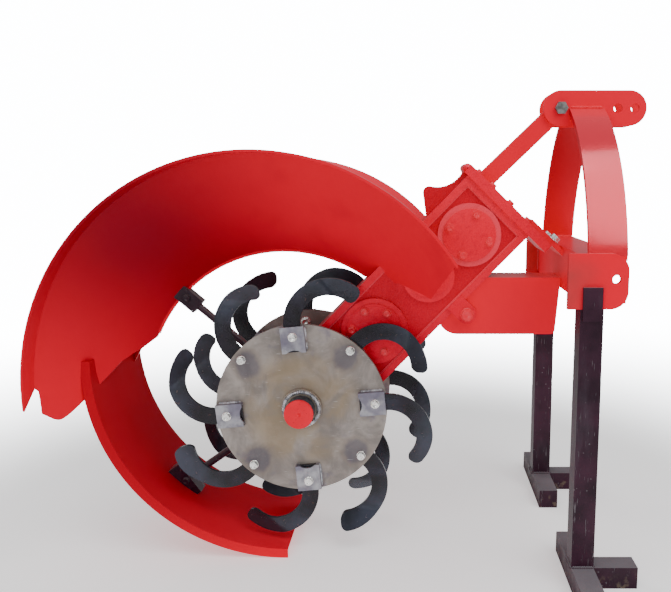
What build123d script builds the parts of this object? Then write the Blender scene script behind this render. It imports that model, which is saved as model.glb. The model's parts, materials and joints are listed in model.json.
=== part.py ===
from build123d import *
from math import cos, radians, sin, sqrt, tan
import os

# A tractor-mounted rotary ditcher. X runs forward, Y to the left, Z up from the floor, in millimetres.
# Side views are drawn in X and Z about the rotor shaft, so a height there is a height above the shaft.

# Rotor: two tined discs on one cross shaft
rotor_rest_angle = 5.0
tines_per_face = 4
tine_reach = 396.0
tine_width = 48.0
tine_thickness = 10.0
tine_shank = 75.0
tine_hook_radius = 105.0
tine_hook_angle = 143.0
tine_inner_angle = 150.0
tine_tip_radius = 20.0
tine_bend_from = 278.0
tine_bend_facing_angle = 55.0
tine_bend_radius = 50.0
outer_tine_bend_angle = 20.0
inner_tine_bend_angle = 35.0
disc_margin = 3.5
disc_thickness = 12.0
disc_inner_face = 115.0
shaft_radius = 40.0
running_clearance = 0.05
fit_clearance = 0.3
hub_flange_radius = 85.0
hub_flange_thickness = 18.0
hub_collar_radius = 60.0
hub_collar_height = 9.0
hub_cap_radius = 41.0
hub_cap_length = 62.0
hub_cap_dimple_radius = 8.0
hub_cap_dimple_depth = 5.0
holder_length = 76.0
holder_headroom = 2.0
holder_web = 8.0
holder_flange = 10.0
holder_notch_radius = 34.0
holder_notch_depth = 8.0

# Drive case, leaning up and forward from the rotor shaft
case_angle = 45.7
case_half_width = 124.0
case_length = 816.0
case_half_thickness = 60.0
case_rim_width = 20.0
case_rim_height = 10.0
case_ledge_width = 4.0
case_ledge_height = 4.0
shaft_cover_radius = 98.0
shaft_cover_height = 18.0
shaft_cover_clearance = 1.0
middle_cover_radius = 98.0
middle_cover_height = 15.0
middle_cover_at = 303.0
idler_cover_radius = 76.0
idler_cover_height = 15.0
idler_cover_at = 530.0
upper_cover_radius = 92.0
upper_cover_height = 12.0
upper_cover_from_end = 117.0
cover_step_width = 16.0
cover_step_height = 5.0
lug_from_end = 184.0
lug_run_in = 58.0
lug_peak_length = 30.0
lug_height = 54.0
lug_dip = 14.0
lug_half_thickness = 32.0
ear_from_end = 287.0
ear_reach = 62.0
ear_radius = 28.0
ear_thickness = 18.0
flange_thickness = 28.0
flange_above = 138.0
flange_below = 190.0
flange_half_width = 80.0

# Hitch, placed from the lower front corner of the case's end flange: a channel beam across, and its saddle
beam_ahead = 32.0
beam_depth = 112.0
beam_height = 122.0
beam_sheet = 12.0
beam_drop = 4.0
saddle_thickness = 14.0
saddle_start = 100.0
saddle_half_width = 70.0

# Input shaft, its housing and its shield
input_drop = 79.0
input_radius = 17.4
input_stub_length = 124.0
input_journal_radius = 24.0
input_journal_length = 50.0
input_shoulder = 6.0
housing_setback = 165.0
housing_radius = 50.0
shield_half_width = 60.0
shield_sheet = 5.0
shield_drop = 92.0
shield_depth = 169.0
shield_length = 361.0
shield_front_slope = 14.0
shield_rear_corner = 60.0
shield_front_corner = 14.0

# Mast, lower link plates and top link plates
leg_thickness = 15.0
leg_width = 100.0
leg_ahead = 45.0
leg_top_gap = 8.0
leg_bow = 61.0
hitch_plate_inner_face = 340.0
hitch_plate_thickness = 15.0
hitch_plate_overhang = 40.0
hitch_plate_length = 154.0
hitch_plate_above = 8.0
hitch_plate_below = 13.0
hitch_plate_corner = 46.0
lower_link_ahead = 115.0
lower_link_drop = 58.0
lower_link_hole_radius = 11.2
mast_height = 451.0
clevis_gap = 52.0
link_plate_thickness = 12.0
link_plate_radius = 50.0
link_plate_length = 195.0
top_link_hole_setback = 32.0
top_link_hole_spacing = 49.0
top_link_hole_radius = 12.85
brace_bolt_ahead = 22.0
brace_bolt_radius = 12.0
brace_bolt_head_radius = 19.0
brace_bolt_head_height = 14.0
brace_width = 50.0
brace_foot_at = 75.0
brace_clearance = 0.2

# Parking stand
stand_tube = 60.0
stand_wall = 5.0
stand_ahead = 25.0
stand_drop = 78.0
tongue_plate_width = 50.0
tongue_plate_thickness = 8.0
tongue_plate_lap = 30.0
foot_height = 60.0
foot_length = 360.0
foot_toe = 120.0

# Hood: two leaning cones that meet in a seam on the middle plane, each ending in a rim strip
hood_sheet = 5.0
hood_axis_x = -44.0
hood_axis_height = -57.0
hood_axis_rise_angle = 13.0
hood_axis_sweep_angle = 2.5
hood_cone_angle = 29.7
hood_cone_radius = 428.0
rim_half_width = 300.0
rim_strip_width = 60.0
seam_end_x = -452.0
seam_end_height = 186.0
tongue_x = -650.0
tongue_height = 50.0
tongue_radius = 34.0
tongue_rise = 88.0
tongue_lean = 50.0
front_inner_x = 284.0
front_inner_height = 360.0
front_corner_x = 376.0
front_corner_height = 325.0
front_tip_x = 440.0
front_tip_height = 445.0

# Trench guard behind the rotor, and the two stays
guard_sheet = 5.0
guard_clearance = 10.0
guard_centre_x = -41.0
guard_radius = 546.0
guard_half_width = 190.0
guard_top_rise = 20.0
guard_flange = 23.0
stay_radius = 11.0
upper_stay_angle = 139.0
lower_stay_angle = 215.0
upper_lug_width = 46.0
upper_lug_length = 58.0
upper_lug_half_thickness = 18.0
lower_lug_width = 110.0
lower_lug_length = 32.0
lower_lug_half_thickness = 26.0

# Places that follow from the sizes above
rotor_height = tine_reach + guard_clearance + guard_sheet + guard_flange
floor = -rotor_height
tine_outer_radius = tine_hook_radius + tine_width / 2
hook_start = sqrt((tine_reach - tine_outer_radius) ** 2 - tine_hook_radius**2)
disc_radius = hook_start + disc_margin
disc_outer_face = disc_inner_face + disc_thickness
case_rim_face = case_half_thickness + case_rim_height
flange_front = case_length + flange_thickness
guard_centre_height = floor + guard_flange + guard_radius
link_plate_inner_face = clevis_gap / 2
link_plate_outer_face = link_plate_inner_face + link_plate_thickness
hitch_plate_outer_face = hitch_plate_inner_face + hitch_plate_thickness
beyond = 4 * hood_cone_radius

case_cos = cos(radians(case_angle))
case_sin = sin(radians(case_angle))
side_plane = Plane(origin=(0, 0, rotor_height), x_dir=(1, 0, 0), z_dir=(0, -1, 0))
case_plane = Plane(origin=(0, 0, rotor_height), x_dir=(case_cos, 0, case_sin), z_dir=(0, -1, 0))
parts = {}


def slab(plane, sketch, y_from, y_to):
    """The sketch, drawn in a side view, made solid from one Y to the other."""
    return extrude(plane.offset(-y_to) * sketch, amount=y_to - y_from, dir=(0, -1, 0))


def between(x_from, x_to, low, high):
    """A rectangle given by its four sides."""
    return Pos((x_from + x_to) / 2, (low + high) / 2) * Rectangle(x_to - x_from, high - low)


def outline(*points):
    """A straight-sided face through the points."""
    return make_face(Polyline(*points, close=True))


def from_case(along, across):
    """The side view's point that lies so far along and across the drive case."""
    return (along * case_cos - across * case_sin, along * case_sin + across * case_cos)


# Places along the hitch
hitch_x, hitch_height = from_case(flange_front, -flange_below)
beam_rear = hitch_x + beam_ahead
beam_front = beam_rear + beam_depth
beam_top = hitch_height - beam_drop
beam_bottom = beam_top - beam_height
shield_top = beam_top - shield_drop
input_height = shield_top - input_drop
housing_front = hitch_x - housing_setback
input_rear = housing_front - input_journal_length
input_stub_rear = housing_front + input_shoulder
input_front = input_stub_rear + input_stub_length
lower_link_x = hitch_x + lower_link_ahead
lower_link_height = beam_top - lower_link_drop
top_link_height = lower_link_height + mast_height
brace_bolt_x = hitch_x + brace_bolt_ahead
link_plate_nose = brace_bolt_x + link_plate_length
top_link_hole_near = link_plate_nose - top_link_hole_setback
top_link_hole_far = top_link_hole_near + top_link_hole_spacing
front_end = link_plate_nose + link_plate_radius


def ray_plane(angle):
    """A plane that looks along Y, with its X along the ray at that angle from the rotor shaft."""
    direction = (cos(radians(angle)), 0, sin(radians(angle)))
    return Plane(origin=(0, 0, rotor_height), x_dir=direction, z_dir=(0, -1, 0))


def mirrored(piece):
    return mirror(piece, about=Plane.XZ)


def pair(name, right):
    """Keeps a right-hand piece and its mirror image."""
    parts[name + "_right"] = right
    parts[name + "_left"] = mirrored(right)


# Drive case: a casting with raised rims round both sides, a lug behind and two ears in front
def case_outline(inset):
    half = case_half_width - inset
    return Circle(half) + between(0, case_length - inset, -half, half)


def rear_lug():
    foot = case_half_width - case_rim_width
    peak = case_half_width + lug_height
    low = case_half_width + lug_dip
    start = case_length - lug_from_end
    rise = start + lug_run_in
    fall = rise + lug_peak_length
    edges = [
        Line((start, foot), (rise, peak)),
        ThreePointArc((rise, peak), ((rise + fall) / 2, peak + lug_dip / 2), (fall, peak)),
        ThreePointArc((fall, peak), ((fall + case_length) / 2 - lug_dip, low + lug_dip / 2), (case_length, low)),
        Line((case_length, low), (case_length, foot)),
        Line((case_length, foot), (start, foot)),
    ]
    return slab(case_plane, make_face(edges), -lug_half_thickness, lug_half_thickness)


def front_ear():
    along = case_length - ear_from_end
    tip = ear_radius - case_half_width - ear_reach
    ear = Pos(along, tip) * Circle(ear_radius)
    ear += between(along - ear_radius, along + ear_radius, tip, case_rim_width - case_half_width)
    return slab(case_plane, ear, -shield_half_width - ear_thickness, -shield_half_width)


case = slab(case_plane, case_outline(0), -case_rim_face, case_rim_face)
ledge_face = case_half_thickness + case_ledge_height
side_pocket = slab(case_plane, case_outline(case_rim_width), -case_rim_face, -ledge_face)
side_pocket += slab(case_plane, case_outline(case_rim_width + case_ledge_width), -ledge_face, -case_half_thickness)
case -= side_pocket
case -= mirrored(side_pocket)
case += rear_lug()
case += front_ear()
case += mirrored(front_ear())
case -= slab(case_plane, Circle(shaft_radius + running_clearance), -case_rim_face, case_rim_face)
parts["drive_case"] = case


# Round covers on the sides of the drive case, each a wide step and a raised middle
def round_cover(along, radius, height, bore):
    face = -case_half_thickness
    place = Pos(along, 0)
    cover = slab(case_plane, place * Circle(radius), face - height + cover_step_height, face)
    cover += slab(case_plane, place * Circle(radius - cover_step_width), face - height, face)
    if bore:
        cover -= slab(case_plane, place * Circle(bore), face - height, face)
    return cover


covers = (
    # place along the case, radius, height, radius of the hole for the shaft
    (0.0, shaft_cover_radius, shaft_cover_height, shaft_radius + shaft_cover_clearance),
    (middle_cover_at, middle_cover_radius, middle_cover_height, 0.0),
    (idler_cover_at, idler_cover_radius, idler_cover_height, 0.0),
    (case_length - upper_cover_from_end, upper_cover_radius, upper_cover_height, 0.0),
)
pair("case_covers", Compound([round_cover(*row) for row in covers]))

flange = between(case_length, flange_front, -flange_below, flange_above)
parts["case_end_flange"] = slab(case_plane, flange, -flange_half_width, flange_half_width)

# Input shaft in its housing
shaft_line = Plane(origin=(0, 0, rotor_height + input_height), x_dir=(0, 1, 0), z_dir=(1, 0, 0))


def round_bar(radius, x_from, x_to):
    return extrude(shaft_line.offset(x_from) * Circle(radius), amount=x_to - x_from)


case_middle_x = input_height * case_cos / case_sin
housing = round_bar(housing_radius, case_middle_x, housing_front) - case
bore_end = input_rear - shaft_cover_clearance
housing -= round_bar(input_journal_radius + running_clearance, bore_end, housing_front)
parts["input_housing"] = housing
input_journal = round_bar(input_journal_radius, input_rear, input_stub_rear)
parts["input_shaft"] = input_journal + round_bar(input_radius, input_stub_rear, input_front)

# Shield over the input shaft, open below and in front
shield_bottom = shield_top - shield_depth
shield_rear = beam_rear - shield_length
shield_side = outline(
    (shield_rear, shield_bottom),
    (beam_rear - shield_front_slope, shield_bottom),
    (beam_rear, shield_top),
    (shield_rear, shield_top),
)
shield_side = fillet(shield_side.vertices().group_by(Axis.Y)[0].sort_by(Axis.X)[0], shield_rear_corner)
shield_side = fillet(shield_side.vertices().group_by(Axis.Y)[0].sort_by(Axis.X)[-1], shield_front_corner)
shield_inside = shield_half_width - shield_sheet
shield = slab(side_plane, shield_side, -shield_half_width, shield_half_width)
inside = between(-beyond, beyond, -beyond, shield_top - shield_sheet)
shield -= slab(side_plane, inside, -shield_inside, shield_inside)
parts["input_shield"] = shield - case

# Cross beam, a channel open to the front, and the saddle that runs from the case's end flange to its web
beam = between(beam_rear, beam_front, beam_bottom, beam_top)
beam -= between(beam_rear + beam_sheet, beam_front, beam_bottom + beam_sheet, beam_top - beam_sheet)
parts["cross_beam"] = slab(side_plane, beam, -hitch_plate_inner_face, hitch_plate_inner_face)
saddle_end = flange_below + beam_depth
saddle = between(flange_front, flange_front + saddle_thickness, -saddle_end, -saddle_start)
ahead_of_beam = slab(side_plane, between(beam_rear, beyond, -beyond, beyond), -beyond, beyond)
parts["flange_saddle"] = slab(case_plane, saddle, -saddle_half_width, saddle_half_width) - ahead_of_beam


# Mast legs: flat straps that bow outward from the top link plates down to the cross beam
def mast_leg():
    x = hitch_x + leg_ahead + leg_width / 2
    top = Vector(x, -link_plate_outer_face, rotor_height + top_link_height - leg_top_gap)
    foot = Vector(x, leg_thickness / 2 - hitch_plate_inner_face, rotor_height + beam_top)
    along = (foot - top).normalized()
    bowed = (top + foot) / 2 + Vector(0, along.Z, -along.Y) * leg_bow
    arc = ThreePointArc(top, bowed, foot)
    path = Line(top - (arc % 0) * leg_thickness, top) + arc + Line(foot, foot + (arc % 1) * leg_thickness)
    section = Plane(origin=path @ 0, x_dir=(1, 0, 0), z_dir=path % 0) * Rectangle(leg_width, leg_thickness)
    leg = sweep(section, path=path)
    whole_side = between(-beyond, beyond, -beyond, beyond)
    leg -= slab(side_plane, whole_side, -link_plate_outer_face, link_plate_outer_face)
    return leg - slab(side_plane, between(-beyond, beyond, -beyond, beam_top), -beyond, beyond)


pair("mast_leg", mast_leg())


def lower_link_plate():
    rear = beam_rear - hitch_plate_overhang
    plate = between(rear, rear + hitch_plate_length, beam_bottom - hitch_plate_below, beam_top + hitch_plate_above)
    plate = fillet(plate.vertices().group_by(Axis.X)[-1], hitch_plate_corner)
    plate -= Pos(lower_link_x, lower_link_height) * Circle(lower_link_hole_radius)
    return slab(side_plane, plate, -hitch_plate_outer_face, -hitch_plate_inner_face)


pair("lower_link_plate", lower_link_plate())


# Top link plates, the bolt through them and the brace that runs down to the end flange
def top_link_plate():
    low = top_link_height - link_plate_radius
    plate = between(brace_bolt_x, link_plate_nose, low, low + 2 * link_plate_radius)
    for x in (brace_bolt_x, link_plate_nose):
        plate += Pos(x, top_link_height) * Circle(link_plate_radius)
    plate -= Pos(brace_bolt_x, top_link_height) * Circle(brace_bolt_radius + fit_clearance)
    for x in (top_link_hole_near, top_link_hole_far):
        plate -= Pos(x, top_link_height) * Circle(top_link_hole_radius)
    return slab(side_plane, plate, -link_plate_outer_face, -link_plate_inner_face)


pair("top_link_plate", top_link_plate())

bolt_place = Pos(brace_bolt_x, top_link_height)
bolt = slab(side_plane, bolt_place * Circle(brace_bolt_radius), -link_plate_outer_face, link_plate_outer_face)
bolt_head = bolt_place * RegularPolygon(brace_bolt_head_radius, 6)
bolt_head = slab(side_plane, bolt_head, -link_plate_outer_face - brace_bolt_head_height, -link_plate_outer_face)
parts["brace_bolt"] = bolt + bolt_head + mirrored(bolt_head)

foot_x, foot_z = from_case(flange_front, brace_foot_at)
brace_direction = (foot_x - brace_bolt_x, 0, foot_z - top_link_height)
brace_origin = (brace_bolt_x, 0, rotor_height + top_link_height)
brace_plane = Plane(origin=brace_origin, x_dir=brace_direction, z_dir=(0, -1, 0))
brace_half = clevis_gap / 2 - brace_clearance
brace = Circle(brace_width / 2) + between(0, beyond, -brace_width / 2, brace_width / 2)
brace -= Circle(brace_bolt_radius + fit_clearance)
behind_flange = slab(case_plane, between(-beyond, flange_front, -beyond, beyond), -beyond, beyond)
parts["mast_brace"] = slab(brace_plane, brace, -brace_half, brace_half) - behind_flange

# Parking stand: a square post under each lower link plate, held by a tongue on the plate, with a T-shaped foot
post_x = hitch_x + stand_ahead + stand_tube / 2
post_y = stand_tube / 2 - hitch_plate_outer_face
post_top = beam_bottom - hitch_plate_below
post_height = rotor_height + post_top - foot_height
tube_inside = stand_tube - 2 * stand_wall
post = extrude(Rectangle(stand_tube, stand_tube), amount=post_height)
post -= extrude(Rectangle(tube_inside, tube_inside), amount=post_height - stand_wall)
half_tongue = tongue_plate_width / 2
tongue = between(post_x - half_tongue, post_x + half_tongue, post_top - tongue_plate_lap, beam_top - stand_drop)
tongue_face = -hitch_plate_outer_face - tongue_plate_thickness
tongue = slab(side_plane, tongue, tongue_face, -hitch_plate_outer_face)
pair("stand_post", Pos(post_x, post_y, foot_height) * post + tongue)
foot = Rectangle(stand_tube, foot_length)
foot += between(stand_tube / 2, stand_tube / 2 + foot_toe, -stand_tube / 2, stand_tube / 2)
pair("stand_foot", Pos(post_x, post_y, 0) * extrude(foot, amount=foot_height))


# Hood wings: each a leaning cone from the seam to the rim
def hood_cone(grow):
    """The right-hand cone, filled from the middle plane to the rim, its face moved out by that much."""
    lean = (-tan(radians(hood_axis_sweep_angle)), -1, tan(radians(hood_axis_rise_angle)))
    axis = Plane(origin=(hood_axis_x, 0, rotor_height + hood_axis_height), x_dir=(0, 0, -1), z_dir=lean)
    flare = tan(radians(hood_cone_angle))
    radius = hood_cone_radius + grow / cos(radians(hood_cone_angle))
    back = hood_cone_radius / 2
    ahead = 2 * rim_half_width
    on_end = (Align.CENTER, Align.CENTER, Align.MIN)
    cone = Cone(radius - back * flare, radius + ahead * flare, back + ahead, align=on_end)
    whole_side = between(-beyond, beyond, -beyond, beyond)
    return (axis.offset(-back) * cone) & slab(side_plane, whole_side, -rim_half_width, 0)


def hood_side():
    """The side view of a wing: a slanted rear end with a rounded tongue, and a cropped front end."""
    tip_run = (front_tip_x - front_corner_x) / (front_tip_height - front_corner_height)
    side = outline(
        (seam_end_x, seam_end_height),
        (tongue_x, tongue_height),
        (tongue_x - tongue_lean, tongue_height + tongue_rise),
        (tongue_x - tongue_lean, beyond),
        (front_corner_x + tip_run * (beyond - front_corner_height), beyond),
        (front_corner_x, front_corner_height),
        (front_inner_x, front_inner_height),
    )
    side = fillet(side.vertices().group_by(Axis.Y)[0], tongue_radius)
    return slab(side_plane, side, -rim_half_width - rim_strip_width, 0)


def hood_wing(spare):
    """A right-hand wing, its sheet made thicker by the spare on both faces."""
    sheet = hood_cone(hood_sheet + spare) - hood_cone(-spare)
    rim = sheet.faces().sort_by(Axis.Y)[0]
    sheet += extrude(rim, amount=rim_strip_width, dir=(0, -1, 0))
    return (sheet & hood_side()) - case


pair("hood_wing", hood_wing(0))

# Trench guard: a curved trough with a flange along each edge, slotted over the wings' rear ends
ring = Pos(guard_centre_x, guard_centre_height) * (Circle(guard_radius) - Circle(guard_radius - guard_sheet))
ring &= between(-beyond, guard_centre_x, -beyond, guard_centre_height + guard_top_rise)
slots = hood_wing(fit_clearance)
edge = Pos(guard_centre_x, guard_centre_height) * (Circle(guard_radius + guard_flange) - Circle(guard_radius))
edge &= between(-beyond, guard_centre_x, -beyond, guard_centre_height + guard_top_rise)
guard_edge = slab(side_plane, edge, -guard_half_width, guard_sheet - guard_half_width)
guard = slab(side_plane, ring, -guard_half_width, guard_half_width) + guard_edge + mirrored(guard_edge)
parts["trench_guard"] = (guard - slots - mirrored(slots)).solids().sort_by(SortBy.VOLUME)[-1]

# Stays from the drive case's round end to lugs on the hood's seam and on the guard
guard_hollow = Pos(guard_centre_x, guard_centre_height) * Circle(guard_radius - guard_sheet)
hood_hollow = hood_cone(0) + mirrored(hood_cone(0))
trough = slab(side_plane, guard_hollow, -beyond, beyond)
stays = (
    # name, angle from the rotor shaft, lug's width, length and half thickness, space that the lug seats in
    ("upper_stay", upper_stay_angle, upper_lug_width, upper_lug_length, upper_lug_half_thickness, hood_hollow),
    ("lower_stay", lower_stay_angle, lower_lug_width, lower_lug_length, lower_lug_half_thickness, trough),
)
for name, angle, width, length, half_thickness, space in stays:
    ray = ray_plane(angle)
    sight = Line(ray.origin, ray.origin + ray.x_dir * beyond) & space
    lug_from = sight.length - length
    rod_line = Plane(origin=ray.origin, x_dir=(0, 1, 0), z_dir=ray.x_dir)
    rod_from = case_half_width / 2
    rod = extrude(rod_line.offset(rod_from) * Circle(stay_radius), amount=lug_from - rod_from)
    parts[name] = rod - case
    lug = between(lug_from, lug_from + beyond, -width / 2, width / 2)
    parts[name + "_lug"] = slab(ray, lug, -half_thickness, half_thickness) & space


# Rotor shaft, discs and hub caps
shaft = slab(side_plane, Circle(shaft_radius), -disc_inner_face, disc_inner_face)
hub_flange = slab(side_plane, Circle(hub_flange_radius), -disc_inner_face, hub_flange_thickness - disc_inner_face)
parts["rotor_shaft"] = shaft + hub_flange + mirrored(hub_flange)
disc = slab(side_plane, Circle(disc_radius), -disc_outer_face, -disc_inner_face)
collar = Circle(hub_collar_radius) - Circle(hub_cap_radius + fit_clearance)
disc += slab(side_plane, collar, -disc_outer_face - hub_collar_height, -disc_outer_face)
pair("disc", disc)
hub_cap_end = -disc_outer_face - hub_cap_length
hub_cap = slab(side_plane, Circle(hub_cap_radius), hub_cap_end, -disc_outer_face)
dimple_plane = Plane(origin=(0, hub_cap_end, rotor_height), z_dir=(0, 1, 0))
on_end = (Align.CENTER, Align.CENTER, Align.MIN)
hub_cap -= dimple_plane * Cone(hub_cap_dimple_radius, 0, hub_cap_dimple_depth, align=on_end)
pair("hub_cap", hub_cap)


# Tines: flat bars hooked like sickles in the disc's plane, with a rounded tip that bends sideways
def sickle():
    """The side view of a tine that leaves the rotor along X and hooks downward."""
    root = hook_start - tine_shank
    half = tine_width / 2
    outer_arc = CenterArc((hook_start, -tine_hook_radius), tine_outer_radius, 90, -tine_hook_angle)
    inner_arc = CenterArc((hook_start, -tine_hook_radius), tine_hook_radius - half, 90, -tine_inner_angle)
    edges = [
        Line((root, half), outer_arc @ 0),
        outer_arc,
        Line(outer_arc @ 1, inner_arc @ 1),
        inner_arc,
        Line(inner_arc @ 0, (root, -half)),
        Line((root, -half), (root, half)),
    ]
    blade = make_face(edges)
    return fillet(blade.vertices().sort_by(Axis.Y)[0:2], tine_tip_radius)


def bent_strip(y_centre, towards, bend):
    """A wide strip at one Y that turns towards plus or minus Y beyond the bend line."""
    facing = radians(tine_bend_facing_angle)
    plane = Plane(
        origin=(0, 0, rotor_height),
        x_dir=(cos(facing), 0, -sin(facing)),
        z_dir=(sin(facing), 0, cos(facing)),
    )

    def strip_edge(shift):
        radius = tine_bend_radius - shift

        def on_bend(turn):
            x = tine_bend_from + radius * sin(radians(turn))
            y = y_centre + towards * (tine_bend_radius - radius * cos(radians(turn)))
            return (x, y)

        start = (-tine_reach, y_centre + towards * shift)
        run_x = tine_reach * cos(radians(bend))
        run_y = towards * tine_reach * sin(radians(bend))
        last = (on_bend(bend)[0] + run_x, on_bend(bend)[1] + run_y)
        arc = ThreePointArc(on_bend(0), on_bend(bend / 2), on_bend(bend))
        return start, last, [Line(start, on_bend(0)), arc, Line(on_bend(bend), last)]

    start_a, last_a, edges_a = strip_edge(-tine_thickness / 2)
    start_b, last_b, edges_b = strip_edge(tine_thickness / 2)
    face = make_face(edges_a + edges_b + [Line(start_a, start_b), Line(last_a, last_b)])
    return extrude(plane * face, amount=2 * tine_reach, both=True)


def turned(piece, angle):
    """The piece turned about the rotor shaft."""
    return Pos(0, 0, rotor_height) * Rot(0, -angle, 0) * Pos(0, 0, -rotor_height) * piece


def holder(face, outward):
    """A short channel that stands over a tine on a disc face, notched at its inner end."""
    half = tine_width / 2 + fit_clearance
    ends = (hook_start - holder_length, hook_start)
    inside = face + outward * (tine_thickness + holder_headroom)
    top = inside + outward * holder_web
    block = between(*ends, -half - holder_flange, half + holder_flange)
    notch = Pos(ends[0] + holder_notch_depth - holder_notch_radius, 0) * Circle(holder_notch_radius)
    channel = slab(side_plane, block, min(face, top), max(face, top))
    channel -= slab(side_plane, between(*ends, -half, half), min(face, inside), max(face, inside))
    return channel - slab(side_plane, notch, min(inside, top), max(inside, top))


tine_rows = (
    # name, disc face, way out of the disc, sideways turn of the tip, first place
    ("outer", -disc_outer_face, -1, outer_tine_bend_angle, 0.0),
    ("inner", -disc_inner_face, 1, inner_tine_bend_angle, 180.0 / tines_per_face),
)
for name, face, outward, bend, first in tine_rows:
    tine_y = face + outward * tine_thickness / 2
    blade = slab(side_plane, sickle(), -2 * tine_reach, 2 * tine_reach)
    blade &= bent_strip(tine_y, -outward, bend)
    places = [rotor_rest_angle + first + 360 * i / tines_per_face for i in range(tines_per_face)]
    pair(name + "_tines", Compound([turned(blade, place) for place in places]))
    pair(name + "_holders", Compound([turned(holder(face, outward), place) for place in places]))

rear_end = parts["hood_wing_right"].bounding_box().min.X
origin_x = (rear_end + front_end) / 2
os.makedirs("parts", exist_ok=True)
for name, part in parts.items():
    export_step(Pos(-origin_x, 0, 0) * part, f"parts/{name}.step")
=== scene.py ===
import json
import math

import bpy
import numpy as np
from mathutils import Euler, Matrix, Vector


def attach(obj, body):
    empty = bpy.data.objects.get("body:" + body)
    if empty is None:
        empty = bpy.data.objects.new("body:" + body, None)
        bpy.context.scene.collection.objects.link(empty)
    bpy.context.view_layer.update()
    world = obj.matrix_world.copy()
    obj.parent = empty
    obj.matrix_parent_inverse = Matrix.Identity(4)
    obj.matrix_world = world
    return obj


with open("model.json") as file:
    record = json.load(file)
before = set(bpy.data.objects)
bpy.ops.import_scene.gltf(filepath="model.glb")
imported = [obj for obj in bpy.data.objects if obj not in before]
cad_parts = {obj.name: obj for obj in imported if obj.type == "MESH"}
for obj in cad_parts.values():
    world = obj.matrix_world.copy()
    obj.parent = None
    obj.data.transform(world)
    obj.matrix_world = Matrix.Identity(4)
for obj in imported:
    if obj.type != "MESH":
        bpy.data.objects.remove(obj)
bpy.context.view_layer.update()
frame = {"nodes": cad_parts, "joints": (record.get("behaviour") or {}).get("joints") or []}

# Points are in metres, and a side-view place is X and height in millimetres from the rotor shaft
shaft = np.array(next(j for j in frame["joints"] if j["name"] == "rotor_spin")["pos_m"])
CASE_ANGLE = math.radians(45.7)

# Sides of the machine along Y: right, then left
BOTH = (-1, 1)

# Angles of the tine holders about the rotor shaft, on the outer and the inner faces of the discs
OUTER_ANGLES = (5, 95, 185, 275)
INNER_ANGLES = (50, 140, 230, 320)

# Weld beads: a ripple's length in metres, its share of the radius, and the points along it
WELD_PITCH = 0.0045
WELD_SWELL = 0.16
POINTS_PER_PITCH = 4

# A ripple too long to show, for plain edges, and how near an open end, in radii, a bead stops narrowing
NO_RIPPLE = 1.0
BEAD_TIP = 0.02

# Edges sharper than this are not smoothed over
SHARP_ANGLE = math.radians(35)


def at(x, y, height):
    """The point at a side-view place, given in millimetres from the rotor shaft."""
    return shaft + np.array((x, y, height)) / 1000


def on_case(along, y, across):
    """The point so far along and across the leaning drive case, in millimetres."""
    c, s = math.cos(CASE_ANGLE), math.sin(CASE_ANGLE)
    return at(along * c - across * s, y, along * s + across * c)


def on_rotor(radius, y, angle):
    """The point at a radius and an angle about the rotor shaft, in millimetres and degrees."""
    a = math.radians(angle)
    return at(radius * math.cos(a), y, radius * math.sin(a))


# Surfaces worked out on grids. A patch is its points and a list of arrays that hold one face in each row.
def grid(points, wrap_rows=False, wrap_columns=False):
    """Points of a rows by columns grid, joined to their neighbours by four-sided faces."""
    rows, columns = points.shape[:2]
    index = np.arange(rows * columns).reshape(rows, columns)
    if wrap_rows:
        index = np.vstack((index, index[:1]))
    if wrap_columns:
        index = np.hstack((index, index[:, :1]))
    corners = (index[:-1, :-1], index[:-1, 1:], index[1:, 1:], index[1:, :-1])
    return points.reshape(-1, 3), [np.stack(corners, axis=-1).reshape(-1, 4)]


def ring_face(first, count):
    """One face over a ring of neighbouring points."""
    return np.arange(first, first + count)[None, :]


def axes_about(axis):
    """Two directions square to the axis and to each other, so that the three are right-handed."""
    axis = np.array(axis, dtype=float)
    axis /= np.linalg.norm(axis)
    spare = np.array((0.0, 0.0, 1.0)) if abs(axis[2]) < 0.9 else np.array((1.0, 0.0, 0.0))
    first = np.cross(spare, axis)
    first /= np.linalg.norm(first)
    return first, np.cross(axis, first), axis


def lathe(centre, axis, profile, steps=36, corners=0):
    """Turns a profile of (radius, height, share of corners) rows about an axis through the centre.

    Radius at an angle t is r / cos(t folded into one side's half turn) where the share is 1, which
    makes a polygon whose flats lie at r, and r all round where the share is 0. The last ring is closed.
    """
    first, second, axis = axes_about(axis)
    rings = np.array(profile, dtype=float)
    t = np.arange(steps) * 2 * np.pi / steps
    cornered = np.ones(steps)
    if corners:
        half = np.pi / corners
        cornered = 1 / np.cos((t % (2 * half)) - half)
    reach = rings[:, :1] * (1 + rings[:, 2:] * (cornered - 1)[None, :])
    around = np.cos(t)[:, None] * first + np.sin(t)[:, None] * second
    points = reach[:, :, None] * around + rings[:, 1][:, None, None] * axis
    verts, faces = grid(points / 1000 + np.asarray(centre), wrap_columns=True)
    faces.append(ring_face(len(verts) - steps, steps))
    return verts, faces


def hex_bolt(centre, axis, flats, height, washer=None):
    """A chamfered six-sided head over a round washer, as a lathe profile with six corners.

    Radii over the washer are shares of half the width over flats, and heights are shares of the whole.
    """
    half = flats / 2
    washer = washer or half * 1.45
    step = height * 0.22
    profile = (
        (washer, 0.0, 0), (washer, step * 0.7, 0), (washer - step * 0.3, step, 0), (half * 1.02, step, 0),
        (half, step, 1), (half, height * 0.86, 1), (half, height * 0.97, 0.25), (half * 0.9, height, 0),
        (half * 0.55, height, 0), (half * 0.5, height * 0.97, 0),
    )
    return lathe(centre, axis, profile, corners=6)


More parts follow.
